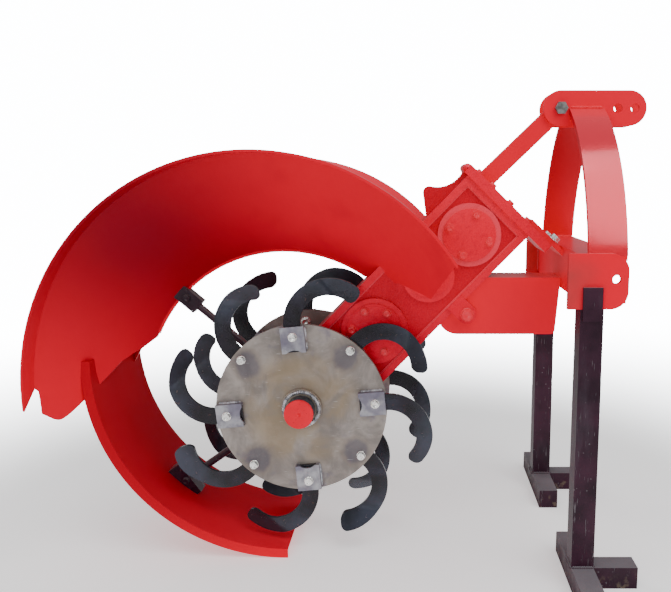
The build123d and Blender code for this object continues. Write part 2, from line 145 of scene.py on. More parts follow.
def bead(path, out, radius, pitch=WELD_PITCH, sides=8, closed=False):
    """A weld bead: a circle carried along a path, its radius swelling once in each pitch of length.

    The radius at length s is R times (1 + swell cos(2 pi s / pitch)). Near an open end it also falls with
    the square root of the distance to the end, down to a small tip.
    """
    path = np.asarray(path)
    if closed:
        tangent = np.roll(path, -1, axis=0) - np.roll(path, 1, axis=0)
    else:
        tangent = np.gradient(path, axis=0)
    tangent /= np.linalg.norm(tangent, axis=1, keepdims=True)
    out = np.broadcast_to(np.asarray(out, dtype=float), path.shape)
    side = np.cross(tangent, out)
    side /= np.linalg.norm(side, axis=1, keepdims=True)
    over = np.cross(side, tangent)
    length = np.concatenate(((0.0,), np.cumsum(np.linalg.norm(np.diff(path, axis=0), axis=1))))
    swell = radius * (1 + WELD_SWELL * np.cos(2 * np.pi * length / pitch))
    if not closed:
        swell = swell * np.clip(np.minimum(length, length[-1] - length) / radius, BEAD_TIP, 1) ** 0.5
    t = np.arange(sides) * 2 * np.pi / sides
    ring = np.cos(t)[None, :, None] * side[:, None, :] + np.sin(t)[None, :, None] * over[:, None, :]
    return grid(path[:, None, :] + swell[:, None, None] * ring, wrap_rows=closed, wrap_columns=True)


def run(start, end):
    """Evenly spaced points along a straight line, a few to each ripple of a weld bead."""
    start, end = np.asarray(start), np.asarray(end)
    count = max(int(np.linalg.norm(end - start) / WELD_PITCH * POINTS_PER_PITCH), 8)
    return start + (end - start) * np.linspace(0, 1, count)[:, None]


def circle(centre, axis, radius):
    """Evenly spaced points round a circle whose radius is in millimetres, a few to each ripple."""
    first, second, _ = axes_about(axis)
    count = max(int(radius / 1000 * 2 * math.pi / WELD_PITCH * POINTS_PER_PITCH), 12)
    t = np.radians(np.linspace(0, 360, count, endpoint=False))[:, None]
    return np.asarray(centre) + radius / 1000 * (np.cos(t) * first + np.sin(t) * second)


def piece(name, patches, body, material):
    """One mesh object from several patches, riding on a body."""
    verts = np.concatenate([points for points, _ in patches])
    starts = np.cumsum([0] + [len(points) for points, _ in patches[:-1]])
    faces = []
    for (_, blocks), start in zip(patches, starts):
        for block in blocks:
            faces += (block + start).tolist()
    mesh = bpy.data.meshes.new(name)
    mesh.from_pydata(verts.tolist(), [], faces)
    mesh.validate()
    mesh.update()
    mesh.materials.append(material)
    obj = bpy.data.objects.new(name, mesh)
    bpy.context.scene.collection.objects.link(obj)
    mesh.polygons.foreach_set("use_smooth", np.ones(len(mesh.polygons), dtype=bool))
    mesh.set_sharp_from_angle(angle=SHARP_ANGLE)
    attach(obj, body)


# Shader maths
class Value:
    """A node's output that can be added to, multiplied and so on; each step adds one Math node."""

    def __init__(self, shade, socket):
        self.shade = shade
        self.socket = socket

    def maths(self, operation, *others):
        return self.shade.maths(operation, self, *others)

    def __add__(self, other):
        return self.maths("ADD", other)

    __radd__ = __add__

    def __sub__(self, other):
        return self.maths("SUBTRACT", other)

    def __rsub__(self, other):
        return self.shade.maths("SUBTRACT", other, self)

    def __mul__(self, other):
        return self.maths("MULTIPLY", other)

    def most(self, other):
        return self.maths("MAXIMUM", other)

    def size(self):
        return self.maths("ABSOLUTE")

    def sign(self):
        return self.maths("SIGN")

    def root(self):
        return self.maths("SQRT")

    def between(self, low, high):
        """0 below the low end, 1 above the high end, and smooth between; low may be the larger."""
        sockets = {"Value": self, "From Min": low, "From Max": high, "To Min": 0.0, "To Max": 1.0}
        node = self.shade.node("ShaderNodeMapRange", {"interpolation_type": "SMOOTHSTEP"}, sockets)
        return Value(self.shade, node.outputs["Result"])


class Finish:
    """A material that is written as expressions and ends in one Principled shader."""

    def __init__(self, name):
        self.material = bpy.data.materials.new(name)
        self.material.use_nodes = True
        self.tree = self.material.node_tree
        self.tree.nodes.clear()
        self.shader = self.tree.nodes.new("ShaderNodeBsdfPrincipled")
        output = self.tree.nodes.new("ShaderNodeOutputMaterial")
        self.tree.links.new(self.shader.outputs[0], output.inputs["Surface"])
        coordinates = self.node("ShaderNodeTexCoord", {}, {})
        self.place = Value(self, coordinates.outputs["Object"])
        self.x, self.y, self.z = self.parts(self.place)
        self.facing = Value(self, coordinates.outputs["Normal"])

    def node(self, kind, settings, sockets):
        """A node of that type: its settings first, then the value or link of each socket."""
        node = self.tree.nodes.new(kind)
        for key, value in settings.items():
            setattr(node, key, value)
        for key, value in sockets.items():
            self.feed(node.inputs[key], value)
        return node

    def feed(self, socket, value):
        """Links a node's output to a socket, or sets the socket to a constant."""
        if isinstance(value, Value):
            self.tree.links.new(value.socket, socket)
        else:
            socket.default_value = value

    def maths(self, operation, *values):
        """The result of one Math node."""
        node = self.node("ShaderNodeMath", {"operation": operation}, dict(enumerate(values)))
        return Value(self, node.outputs[0])

    def noise(self, scale, detail=3.0, rough=0.55, stretch=None, twist=0.0):
        """Fractal noise from 0 to 1, its grain that many to the metre, drawn out along an axis if asked."""
        place = self.place
        if stretch:
            mapping = self.node("ShaderNodeMapping", {}, {"Vector": place, "Scale": stretch})
            place = Value(self, mapping.outputs[0])
        sockets = {
            "Vector": place, "Scale": scale, "Detail": detail, "Roughness": rough, "Distortion": twist,
        }
        return Value(self, self.node("ShaderNodeTexNoise", {}, sockets).outputs[0])

    def cells(self, scale):
        """Distance to the nearest of scattered points, that many to the metre."""
        node = self.node("ShaderNodeTexVoronoi", {}, {"Vector": self.place, "Scale": scale})
        return Value(self, node.outputs["Distance"])

    def mix(self, first, second, share):
        """The first colour where the share is 0 and the second where it is 1.

        A Mix node has its two colours on sockets 6 and 7, and the mixed one on output 2.
        """
        node = self.node("ShaderNodeMix", {"data_type": "RGBA"}, {"Factor": share, 6: first, 7: second})
        return Value(self, node.outputs[2])

    def parts(self, vector):
        """The three parts of a vector."""
        node = self.node("ShaderNodeSeparateXYZ", {}, {0: vector})
        return [Value(self, node.outputs[i]) for i in range(3)]

    def upward(self):
        """1 on faces that look up, falling to 0 on upright ones."""
        return self.parts(self.facing)[2].between(0.0, 0.9)

    def outward(self):
        """1 on faces that look away from the middle plane, falling to 0 on those square to it."""
        return (self.parts(self.facing)[1] * self.y.sign()).between(0.3, 0.8)

    def away(self, x, height):
        """Distance in the side view from a place given in millimetres from the rotor shaft."""
        dx = self.x - float(shaft[0] + x / 1000)
        dz = self.z - float(shaft[2] + height / 1000)
        return (dx * dx + dz * dz).root()

    def set(self, height=None, depth=0.001, **sockets):
        """Feeds the shader; a height goes through a Bump node of that depth in metres."""
        names = {"specular": "Specular IOR Level", "coat_ior": "Coat IOR"}
        for key, value in sockets.items():
            self.feed(self.shader.inputs[names.get(key, key.replace("_", " ").title())], value)
        if height is not None:
            bump = self.node("ShaderNodeBump", {}, {"Strength": 1.0, "Distance": depth, "Height": height})
            self.tree.links.new(bump.outputs[0], self.shader.inputs["Normal"])
        return self.material


def tone(text, lift=1.0):
    """A hexadecimal screen colour as linear red, green, blue and alpha."""
    channels = [int(text[i:i + 2], 16) / 255 for i in (0, 2, 4)]
    linear = [c / 12.92 if c <= 0.04045 else ((c + 0.055) / 1.055) ** 2.4 for c in channels]
    return (*[min(c * lift, 1.0) for c in linear], 1.0)


# Side-view place of the link plates' dirty rear ends, and the distances in metres over which they begin
LINK_REAR = (712, 395)
LINK_FACES = (0.3, 0.33)


def sprayed_red(name, deep, bright, shade_place, specular, rough, top_highlight=0.6, sheen=0.0):
    """Gloss sprayed paint: a painted shade of deep red about one place, going to a bright red far from it.

    The shade place is X and height in millimetres and two distances in metres, where the bright red begins
    and where it is full. Upper faces are painted paler as a painted highlight, and carry a clear coat.
    Where a sheen is asked for, faces that look away from the middle are polished by that share. The link
    plates' rear ends are dirty.
    """
    f = Finish(name)
    x, height, near, far = shade_place
    # Painted shade: deep red near the shade place, brightening to the bright red with distance
    shade_ramp = (f.away(x, height) + f.noise(2.0, 2.0) * 0.1 - 0.05).between(near, far)
    red = f.mix(tone(deep), tone(bright), shade_ramp)
    runs = f.noise(7.0, 2.0, stretch=(1.0, 1.0, 0.3)).between(0.5, 0.85)
    red = f.mix(red, tone(deep, 0.8), runs * 0.2)
    top = f.upward()
    # Painted highlight: upward faces are painted a paler pink-red, by the top highlight share
    red = f.mix(red, tone("F8384C"), top * top_highlight)
    dust = f.noise(230.0, 2.0).between(0.68, 0.8) * f.noise(5.0, 2.0).between(0.5, 0.75)
    red = f.mix(red, tone("C9938C"), dust * 0.1)
    by_link = (f.away(*LINK_REAR) + f.noise(14.0, 3.0) * 0.08).between(0.16, 0.06)
    dirt = by_link * f.y.size().between(*LINK_FACES)
    red = f.mix(red, tone("964440"), dirt * (0.3 + f.noise(24.0, 4.0) * 0.5))
    peel = f.noise(300.0, 2.0) * 0.5 + f.noise(45.0, 2.0) * 0.8
    polish = f.outward() * sheen
    gloss = rough + f.noise(10.0, 3.0) * 0.1 + dust * 0.25 + dirt * 0.2 - polish * 0.16
    return f.set(
        height=peel, depth=0.0004, base_color=red, roughness=gloss, metallic=polish * 0.3,
        specular=specular, coat_weight=(top * top_highlight).most(polish * 0.45), coat_roughness=0.25 - sheen * 0.12,
        coat_ior=1.9,
    )


# Distances from the middle, in metres, up to which the hub caps are worn and from which they are painted
PAINT_LINE = (0.178, 0.184)


def hub_paint(name):
    """Hub caps: red on the outer end, worn to blue-grey steel along the side, ragged between the two."""
    f = Finish(name)
    out = f.y.size() + f.noise(120.0, 3.0) * 0.006
    painted = out.between(*PAINT_LINE)
    steel = f.mix(tone("33363E"), tone("5E626C"), f.noise(70.0, 3.0).between(0.35, 0.7))
    red = f.mix(tone("DC0024"), tone("F80A30"), f.noise(25.0, 2.0))
    red = f.mix(red, tone("8A0008"), f.noise(160.0, 3.0).between(0.62, 0.74) * 0.5)
    return f.set(
        height=f.noise(260.0, 3.0), depth=0.0005, base_color=f.mix(steel, red, painted),
        metallic=(1 - painted) * 0.7, roughness=0.36 - painted * 0.08, specular=0.2,
    )


# Distances from the middle, in metres, over which the walls of the casting's rims begin and end
WALL_BEGINS = (0.0605, 0.064)
WALL_ENDS = (0.0705, 0.068)


def cast_red(name, edges=0.0):
    """Gloss red over a sand casting: pimpled at two scales, with painted highlights that make it paler high
    up and on upward faces, and, by a share, painted highlights on raised edges and painted shade between
    them.

    The edges are the walls between the casting's side and its rims and covers.
    """
    f = Finish(name)
    grain = f.noise(240.0, 3.0, 0.6)
    lumps = f.noise(55.0, 3.0, 0.6)
    # Painted highlight: parts of the casting high up are painted paler
    high = (f.z + f.noise(6.0, 2.0) * 0.15).between(0.7, 1.12)
    red = f.mix(tone("E4002A"), tone("F41436"), high)
    red = f.mix(red, tone("B4001E"), lumps.between(0.5, 0.75) * 0.3)
    red = f.mix(red, tone("F83A4C"), grain.between(0.58, 0.75) * 0.16)
    # Painted highlight: upward faces are painted a paler pink
    red = f.mix(red, tone("FA5064"), f.upward() * 0.5)
    if edges:
        out = f.y.size()
        # Painted shade: the recessed side between the rims and covers is painted a deeper red
        red = f.mix(tone("D20024"), red, out.between(*WALL_BEGINS))
        # Painted highlight: the walls of the rims and covers are painted pale pink, by the edges share
        wall_highlight = out.between(*WALL_BEGINS) * out.between(*WALL_ENDS)
        red = f.mix(red, tone("FF7484"), wall_highlight * edges)
    grime = f.noise(11.0, 4.0).between(0.55, 0.8) * f.noise(90.0, 3.0).between(0.4, 0.7)
    red = f.mix(red, tone("6A1512"), grime * 0.2)
    return f.set(
        height=grain * 0.5 + lumps * 1.2, depth=0.0016, base_color=red,
        roughness=0.2 + grain * 0.16 + grime * 0.25, specular=0.36, specular_tint=tone("FF9CB0"),
    )


# Radius about the rotor shaft, in millimetres, where the inner holders' welds have tinted the discs
HEAT_RADIUS = 203


def disc_scale(name):
    """Mill scale on the rotor's discs: grey-brown, stained, with blue-grey heat over the inner holders."""
    f = Finish(name)
    radius = f.away(0, 0)
    blotch = f.noise(11.0, 5.0, 0.6, twist=0.6)
    steel = f.mix(tone("7C7570"), tone("A39B94"), blotch.between(0.35, 0.68))
    stain = f.noise(7.0, 3.0, twist=0.5).between(0.38, 0.62) * radius.between(0.2, 0.12)
    steel = f.mix(steel, tone("907C5C"), stain * 0.65)
    violet = f.noise(16.0, 4.0).between(0.55, 0.72) * radius.between(0.1, 0.19)
    steel = f.mix(steel, tone("6E6678"), violet * 0.6)
    wander = f.noise(24.0, 3.0) * 0.03
    heat = None
    for angle in INNER_ANGLES:
        a = math.radians(angle)
        spot = f.away(HEAT_RADIUS * math.cos(a), HEAT_RADIUS * math.sin(a)) + wander
        spot = spot.between(0.072, 0.042)
        heat = spot if heat is None else heat.most(spot)
    steel = f.mix(steel, tone("56525C"), heat * 0.68)
    halo = heat * (1 - heat) * 4.0
    steel = f.mix(steel, tone("9A8A74"), halo * 0.2)
    streak = f.noise(7.0, 3.0, stretch=(4.0, 1.0, 1.0)).between(0.6, 0.75)
    steel = f.mix(steel, tone("544C4A"), streak * 0.25)
    scratch = f.noise(30.0, 2.0, stretch=(1.0, 1.0, 9.0)).between(0.68, 0.74)
    steel = f.mix(steel, tone("C8C6C2"), scratch * 0.35)
    pits = f.noise(420.0, 2.0)
    return f.set(
        height=pits * 0.5 + blotch * 0.6, depth=0.0005, base_color=steel, metallic=0.55 - stain * 0.25,
        roughness=0.44 + blotch * 0.14 - scratch * 0.12 + heat * 0.06,
    )


def holder_bar(name):
    """Bare bar of the tine holders: light grey with violet heat and brown patches."""
    f = Finish(name)
    blotch = f.noise(26.0, 4.0, 0.6)
    steel = f.mix(tone("7E7C84"), tone("ABABB0"), blotch.between(0.35, 0.65))
    steel = f.mix(steel, tone("6A6478"), f.noise(9.0, 3.0, twist=0.5).between(0.42, 0.62) * 0.7)
    steel = f.mix(steel, tone("7A5E48"), f.noise(34.0, 4.0).between(0.6, 0.75) * 0.5)
    brush = f.noise(60.0, 2.0, stretch=(1.0, 8.0, 1.0))
    return f.set(
        height=brush * 0.4 + f.noise(380.0, 2.0) * 0.5, depth=0.0005, base_color=steel, metallic=0.7,
        roughness=0.36 + blotch * 0.2,
    )


# Radii about the rotor shaft, in metres, over which a painted highlight brightens the tines towards their
# hooked ends
TIP_HIGHLIGHT_RADII = (0.33, 0.42)


def tine_forging(name):
    """Blue-black hardened tines: violet scale, a painted highlight on the hooked ends, rust freckles."""
    f = Finish(name)
    radius = f.away(0, 0)
    cloud = f.noise(18.0, 4.0, 0.6, twist=0.4)
    steel = f.mix(tone("0C0810"), tone("1C1422"), cloud.between(0.35, 0.7))
    sheen = f.noise(9.0, 3.0).between(0.45, 0.7)
    steel = f.mix(steel, tone("3A4052"), sheen * 0.35)
    # Painted highlight: the hooked ends are painted a brighter blue-grey
    tip_highlight = (radius + f.noise(30.0, 3.0) * 0.05).between(*TIP_HIGHLIGHT_RADII)
    steel = f.mix(steel, tone("5A6474"), tip_highlight * 0.25)
    rust = f.noise(70.0, 4.0).between(0.64, 0.74)
    steel = f.mix(steel, tone("5A3A2C"), rust * 0.45)
    return f.set(
        height=f.noise(300.0, 3.0) * 0.7 + cloud * 0.6, depth=0.0007, base_color=steel, metallic=0.35,
        roughness=0.2 + cloud * 0.14 + rust * 0.2 - tip_highlight * 0.05, specular=0.5,
    )


def turned_steel(name):
    """Turned shaft steel with fine rings and a film of oil."""
    f = Finish(name)
    ring = f.noise(500.0, 1.0, stretch=(1.0, 1.0, 0.05))
    steel = f.mix(tone("8A8A8C"), tone("B4B4B4"), f.noise(30.0, 3.0))
    steel = f.mix(steel, tone("6A5A48"), f.noise(14.0, 4.0).between(0.55, 0.75) * 0.45)
    return f.set(height=ring, depth=0.0003, base_color=steel, metallic=0.95, roughness=0.28 + ring * 0.15)


def plated(name, dark, light, rough):
    """Plated bolts: a grey between two tones, faintly yellow in patches, with dull spots."""
    f = Finish(name)
    cloud = f.noise(60.0, 3.0)
    zinc = f.mix(tone(dark), tone(light), cloud.between(0.3, 0.7))
    zinc = f.mix(zinc, tone("C9BE96", 0.8), f.noise(35.0, 3.0).between(0.55, 0.75) * 0.3)
    dull = f.noise(140.0, 3.0).between(0.6, 0.72)
    return f.set(
        height=f.noise(600.0, 2.0), depth=0.0002, base_color=f.mix(zinc, tone(dark, 0.6), dull * 0.5),
        metallic=0.9, roughness=rough + dull * 0.25,
    )


def weld_metal(name):
    """Bare weld bead: grey with straw-coloured heat."""
    f = Finish(name)
    cloud = f.noise(90.0, 3.0)
    weld = f.mix(tone("8C8E94"), tone("D4D8DC"), cloud.between(0.35, 0.65))
    weld = f.mix(weld, tone("7A664E"), f.noise(26.0, 3.0).between(0.55, 0.7) * 0.55)
    return f.set(
        height=f.noise(500.0, 2.0), depth=0.0004, base_color=weld, metallic=0.8,
        roughness=0.38 + cloud * 0.2,
    )


def scuffed_black(name, gloss):
    """Purple-black paint of the stand and stays: long scratches, chips to bare steel, mud by the floor."""
    f = Finish(name)
    cloud = f.noise(9.0, 4.0)
    black = f.mix(tone("220A1A"), tone("3A1A2C"), cloud.between(0.3, 0.7))
    grey = f.noise(18.0, 4.0, stretch=(1.0, 1.0, 0.2)).between(0.55, 0.78)
    black = f.mix(black, tone("5C525C"), grey * 0.3)
    scratch = f.noise(38.0, 3.0, stretch=(7.0, 7.0, 0.5), twist=0.3).between(0.66, 0.71)
    chip = f.cells(55.0).between(0.16, 0.1) * f.noise(8.0, 3.0).between(0.5, 0.62)
    bare = scratch.most(chip)
    black = f.mix(black, tone("8E8A8E"), bare * 0.45)
    black = f.mix(black, tone("7E7A7E"), f.upward() * (0.45 + cloud * 0.5))
    mud = (f.noise(20.0, 4.0) * 0.1 - f.z).between(-0.02, 0.06)
    black = f.mix(black, tone("7A6C58"), mud * f.noise(60.0, 3.0).between(0.5, 0.68) * 0.5)
    return f.set(
        height=f.noise(260.0, 3.0) * 0.6 - bare * 0.8, depth=0.0007, base_color=black, metallic=bare * 0.7,
        roughness=gloss + cloud * 0.16 + mud * 0.3, specular=0.22,
    )


hood_red = sprayed_red("hood_red", "8A0018", "E60028", (-400, 500, 0.0, 0.52), specular=0.1, rough=0.36)
guard_red = sprayed_red(
    "guard_red", "B4001C", "E80028", (-480, 0, 0.1, 0.7), specular=0.06, rough=0.6, top_highlight=0.08
)
frame_red = sprayed_red("frame_red", "DC0022", "F4002C", (0, 0, 0.1, 0.6), specular=0.16, rough=0.3)
mast_red = sprayed_red(
    "mast_red", "C0001E", "EC002A", (800, 900, 0.1, 0.4), specular=0.12, rough=0.3, sheen=1.0
)
bolt_red = sprayed_red("bolt_red", "DC0826", "F21E38", (0, 0, 0.1, 0.6), specular=0.35, rough=0.2)
hub_finish = hub_paint("hub_finish")
casting_red = cast_red("casting_red")
edge_shaded_red = cast_red("edge_shaded_red", edges=0.3)
disc_finish = disc_scale("disc_finish")
holder_finish = holder_bar("holder_finish")
tine_finish = tine_forging("tine_finish")
shaft_finish = turned_steel("shaft_finish")
zinc_finish = plated("zinc_finish", "D8D8D4", "F2F2F0", rough=0.26)
grey_finish = plated("grey_finish", "6E6C6A", "A8A6A4", rough=0.34)
weld_finish = weld_metal("weld_finish")
stand_black = scuffed_black("stand_black", gloss=0.42)
stay_black = scuffed_black("stay_black", gloss=0.2)

# Finishes of the solids, by the start of the node's name; the others are frame_red
node_finishes = (
    ("hood_wing", hood_red),
    ("trench_guard", guard_red),
    ("mast_leg", mast_red),
    ("drive_case", edge_shaded_red),
    ("case_covers", edge_shaded_red),
    ("case_end_flange", casting_red),
    ("input_housing", casting_red),
    ("input_shaft", shaft_finish),
    ("rotor_shaft", shaft_finish),
    ("brace_bolt", grey_finish),
    ("hub_cap", hub_finish),
    ("disc", disc_finish),
    ("outer_tines", tine_finish),
    ("inner_tines", tine_finish),
    ("outer_holders", holder_finish),
    ("inner_holders", holder_finish),
    ("stand", stand_black),
    ("upper_stay", stay_black),
    ("lower_stay", stay_black),
)
for node_name, obj in frame["nodes"].items():
    finish = next((m for start, m in node_finishes if node_name.startswith(start)), frame_red)
    obj.data.materials.clear()
    obj.data.materials.append(finish)

# Rotor: bolts and weld beads of the tine holders, and a bead round each hub. Faces are from the middle.
DISC_FACE = 127.0
DISC_BACK = 115.0
HOLDER_TOP = 147.0
HOLDER_BACK = 95.0
HOLDER_HALF = 34.3
HOLDER_BEAD_ENDS = (173.5, 240.5)
OUTER_BOLT_AT = 216
INNER_BOLT_AT = 224
HEAD_FLATS = 21
HEAD_WASHER = 13.5
NUT_AT = 211
NUT_FLATS = 24
COLLAR_FACE = DISC_FACE + 9
COLLAR_RADIUS = 51
bolts = []
beads = []
for side in BOTH:
    out = (0, side, 0)
    inward = (0, -side, 0)
    for angle in OUTER_ANGLES:
        head = on_rotor(OUTER_BOLT_AT, side * HOLDER_TOP, angle)
        nut = on_rotor(NUT_AT, side * DISC_BACK, angle)
        bolts.append(hex_bolt(head, out, HEAD_FLATS, height=10, washer=HEAD_WASHER))
        bolts.append(hex_bolt(nut, inward, NUT_FLATS, height=12))
    for angle in INNER_ANGLES:
        head = on_rotor(INNER_BOLT_AT, side * DISC_FACE, angle)
        nut = on_rotor(NUT_AT, side * HOLDER_BACK, angle)
        bolts.append(hex_bolt(head, out, HEAD_FLATS, height=13, washer=HEAD_WASHER))
        bolts.append(hex_bolt(nut, inward, NUT_FLATS, height=11))
    for angles, face, facing in ((OUTER_ANGLES, DISC_FACE, out), (INNER_ANGLES, DISC_BACK, inward)):
        for angle in angles:
            a = math.radians(angle)
            across = np.array((-math.sin(a), 0, math.cos(a))) * HOLDER_HALF / 1000
            start, end = (on_rotor(r, side * face, angle) for r in HOLDER_BEAD_ENDS)
            for edge in (across, -across):
                beads.append(bead(run(start + edge, end + edge), facing, radius=0.0042))
    collar = circle(at(0, side * COLLAR_FACE, 0), out, COLLAR_RADIUS)
    beads.append(bead(collar, out, radius=0.0056, pitch=0.006, closed=True))
piece("rotor_bolts", bolts, "rotor", zinc_finish)

# Hub caps: a rounded lip round each cap's outer end
CAP_END = DISC_FACE + 60
CAP_LIP_RADIUS = 39.6
lips = []
for side in BOTH:
    out = (0, side, 0)
    rim = circle(at(0, side * CAP_END, 0), out, CAP_LIP_RADIUS)
    lips.append(bead(rim, out, radius=0.0022, pitch=NO_RIPPLE, closed=True))
piece("hub_lips", lips, "rotor", hub_finish)
piece("rotor_welds", beads, "rotor", weld_finish)

# Drive case: domed covers with painted bolts, ear bolts, flange bolts and the flange's rounded upper end
COVER_RADIUS = 78
DOME_RISE = 5
DOME_RADII = (76, 72, 66, 58, 48, 36, 24, 12, 3)
BOLT_FLATS = 19
EAR_ALONG = 529
EAR_FACE = 78
EAR_ACROSS = -158
FLANGE_FACE = 844
FLANGE_BOLTS_OUT = 62
FLANGE_BOLTS_ACROSS = (105, 52, -20, -90)
FLANGE_MIDDLE = 830
FLANGE_HALF = 79
FLANGE_TOP = 139

# A cover is its place along the case, face, bolt circle, number of bolts and first bolt's angle
COVERS = ((699.0, 72, 61, 4, 25), (303.0, 75, 66, 6, 10))
case_forward = (math.cos(CASE_ANGLE), 0, math.sin(CASE_ANGLE))
dome = [(r, DOME_RISE * (1 - (r / COVER_RADIUS) ** 2), 0) for r in DOME_RADII]
domes = []
painted_bolts = []
for side in BOTH:
    out = (0, side, 0)
    for along, face, bolt_circle, count, first in COVERS:
        domes.append(lathe(on_case(along, side * face, 0), out, dome, steps=64))
        for k in range(count):
            a = math.radians(360 / count * k + first)
            bolt_along = along + bolt_circle * math.cos(a)
            place = on_case(bolt_along, side * (face + 1), bolt_circle * math.sin(a))
            painted_bolts.append(hex_bolt(place, out, BOLT_FLATS, height=10, washer=14))
    place = on_case(EAR_ALONG, side * EAR_FACE, EAR_ACROSS)
    painted_bolts.append(hex_bolt(place, out, flats=30, height=14, washer=20))
    for across in FLANGE_BOLTS_ACROSS:
        place = on_case(FLANGE_FACE, side * FLANGE_BOLTS_OUT, across)
        painted_bolts.append(hex_bolt(place, case_forward, BOLT_FLATS, height=9))
start, end = (on_case(FLANGE_MIDDLE, side * FLANGE_HALF, FLANGE_TOP) for side in BOTH)
domes.append(bead(run(start, end), (0, 0, 1), radius=0.012, pitch=NO_RIPPLE, sides=16))
piece("case_domes", domes, "frame", casting_red)
piece("case_bolts", painted_bolts, "frame", bolt_red)

# Bright bolts that hold the saddle to the lower end of the case's end flange
SADDLE_FACE = 858
SADDLE_BOLT_OUT = 55
SADDLE_BOLT_ACROSS = -186
bright_bolts = []
for side in BOTH:
    place = on_case(SADDLE_FACE, side * SADDLE_BOLT_OUT, SADDLE_BOLT_ACROSS)
    bright_bolts.append(hex_bolt(place, case_forward, flats=26, height=16))
piece("flange_bolts", bright_bolts, "frame", zinc_finish)

# Black bolts of the stays' lugs. A lug is its angle and distance from the rotor shaft, and its face.
LUGS = ((139, 468, 18), (215, 464, 26))
lug_bolts = []
for angle, reach, face in LUGS:
    for side in BOTH:
        place = on_rotor(reach, side * face, angle)
        lug_bolts.append(hex_bolt(place, (0, side, 0), BOLT_FLATS, height=9, washer=12))
piece("lug_bolts", lug_bolts, "frame", stay_black)

# Hood: the right-hand wing's cone has its axis through one point of the middle plane and leans out of it
CONE_RADIUS = 428.0
CONE_AT = np.array((-44.0, 0.0, -57.0))
FLARE = math.tan(math.radians(29.7))
FLARE_COSINE = math.cos(math.radians(29.7))
LEAN = np.array((-math.tan(math.radians(2.5)), -1.0, math.tan(math.radians(13.0))))
LEAN /= np.linalg.norm(LEAN)
WING_SHEET = 5.0
RIM_DEPTH = 300.0

# The sheets that lengthen a wing lie this far inside the faces of its own sheet
INSET = 0.3
SHEET_FACES = (INSET, WING_SHEET - INSET)

# Side view of a wing's rear end: where its two edges meet, and the rise of each
WING_CORNER = (-650.0, 50.0)
REAR_RISE = 1.76
FRONT_RISE = 0.687

# Side view of the tongue: its ends, how far its rear edge leans, its overlap, and the shape of its nose
TONGUE_REAR = -680.0
TONGUE_FRONT = -526.0
TONGUE_LEAN = 6.0
TONGUE_OVERLAP = 30.0
NOSE = (-645.0, 6.0)
NOSE_RADIUS = 12.0
NOSE_REAR_SLOPE = 1.4
NOSE_FRONT_SLOPE = 1.22

# Rim strip: its width, the heights of its point's hidden top and of the cut at the rim, and the cut's fall
STRIP_WIDTH = 60.0
POINT_TOP = 122.0
POINT_CUT = 106.0
POINT_FALL = 42.0


def to_cone(start, direction, grow):
    """How far the wing's cone, moved out by grow, lies from points in a direction, in millimetres.

    With s the share of p along the axis, a point p of the cone has p.p - s s = (R + s tan(flare)) squared.
    Along a straight line that is a quadratic in the distance, and its smallest root above zero is taken.
    """
    p = start - CONE_AT
    d = np.array(direction, dtype=float)
    radius = CONE_RADIUS + grow / FLARE_COSINE
    g = 1 + FLARE * FLARE
    along, step = p @ LEAN, d @ LEAN
    a = d @ d - g * step * step
    b = 2 * (p @ d - g * along * step - radius * FLARE * step)
    c = (p * p).sum(axis=-1) - g * along * along - 2 * radius * FLARE * along - radius * radius
    spread = np.sqrt(b * b - 4 * a * c)
    roots = np.stack((-b - spread, -b + spread)) / (2 * a)
    return np.where(roots > 0, roots, np.inf).min(axis=0)


def sheet(inner, outer, side):
    """A closed sheet between two grids of points in millimetres, mirrored to its side of the machine."""
    ring = np.concatenate((inner, outer[:, ::-1]), axis=1) * np.array((1, -side, 1))
    verts, faces = grid(shaft + ring[::-side] / 1000, wrap_columns=True)
    count = ring.shape[1]
    faces.append(ring_face(0, count)[:, ::-1])
    faces.append(ring_face(len(verts) - count, count))
    return verts, faces


def wing_tongue(side):
    """The wing's long rear tongue: the part of its cone between two lines of the side view.

    The upper line lies inside the wing, above the two straight edges of its rear end. The lower line is the
    hyperbola h = nose - r + sqrt((slope x) squared + r r), with x from the nose, steeper on its rear side.
    """
    u = np.linspace(0, 1, 61)[:, None]
    v = np.linspace(0, 1, 13)[None, :]
    rear = TONGUE_REAR + TONGUE_LEAN * v
    x = rear + u * (TONGUE_FRONT - rear)
    from_corner = x - WING_CORNER[0]
    edges = WING_CORNER[1] + np.maximum(-from_corner * REAR_RISE, from_corner * FRONT_RISE)
    upper = edges + TONGUE_OVERLAP
    from_nose = x - NOSE[0]
    slope = np.where(from_nose > 0, NOSE_FRONT_SLOPE, NOSE_REAR_SLOPE)
    lower = NOSE[1] - NOSE_RADIUS + np.sqrt((slope * from_nose) ** 2 + NOSE_RADIUS**2)
    height = upper + v * (np.minimum(lower, upper - 1) - upper)
    places = np.stack((x, np.zeros_like(x), height), axis=-1)
    depths = [to_cone(places, (0, -1, 0), grow) for grow in SHEET_FACES]
    return sheet(*[np.stack((x, -depth, height), axis=-1) for depth in depths], side)


def strip_point(side):
    """The pointed rear end of the rim strip: the rim's line carried outwards, cut at a slant.

    The cut falls evenly from the rim to the strip's outer edge.
    """
    u = np.linspace(0, 1, 13)[:, None]
    v = np.linspace(0, 1, 13)[None, :]
    height = POINT_TOP + v * (POINT_CUT - POINT_FALL * u - POINT_TOP)
    rim = np.stack((np.zeros_like(height), np.full_like(height, -RIM_DEPTH), height), axis=-1)
    y = -RIM_DEPTH - u * (STRIP_WIDTH - INSET) * np.ones_like(v)
    reaches = [to_cone(rim, (-1, 0, 0), grow) for grow in SHEET_FACES]
    return sheet(*[np.stack((-reach, y, height), axis=-1) for reach in reaches], side)


tongues = [make(side) for side in BOTH for make in (wing_tongue, strip_point)]
piece("wing_tongues", tongues, "frame", hood_red)

# Weld beads of the frame, the first two along the hood's seam, on both sides of the sheet
SEAM_ENDS = (62, 148)
SEAM_POINTS = 900


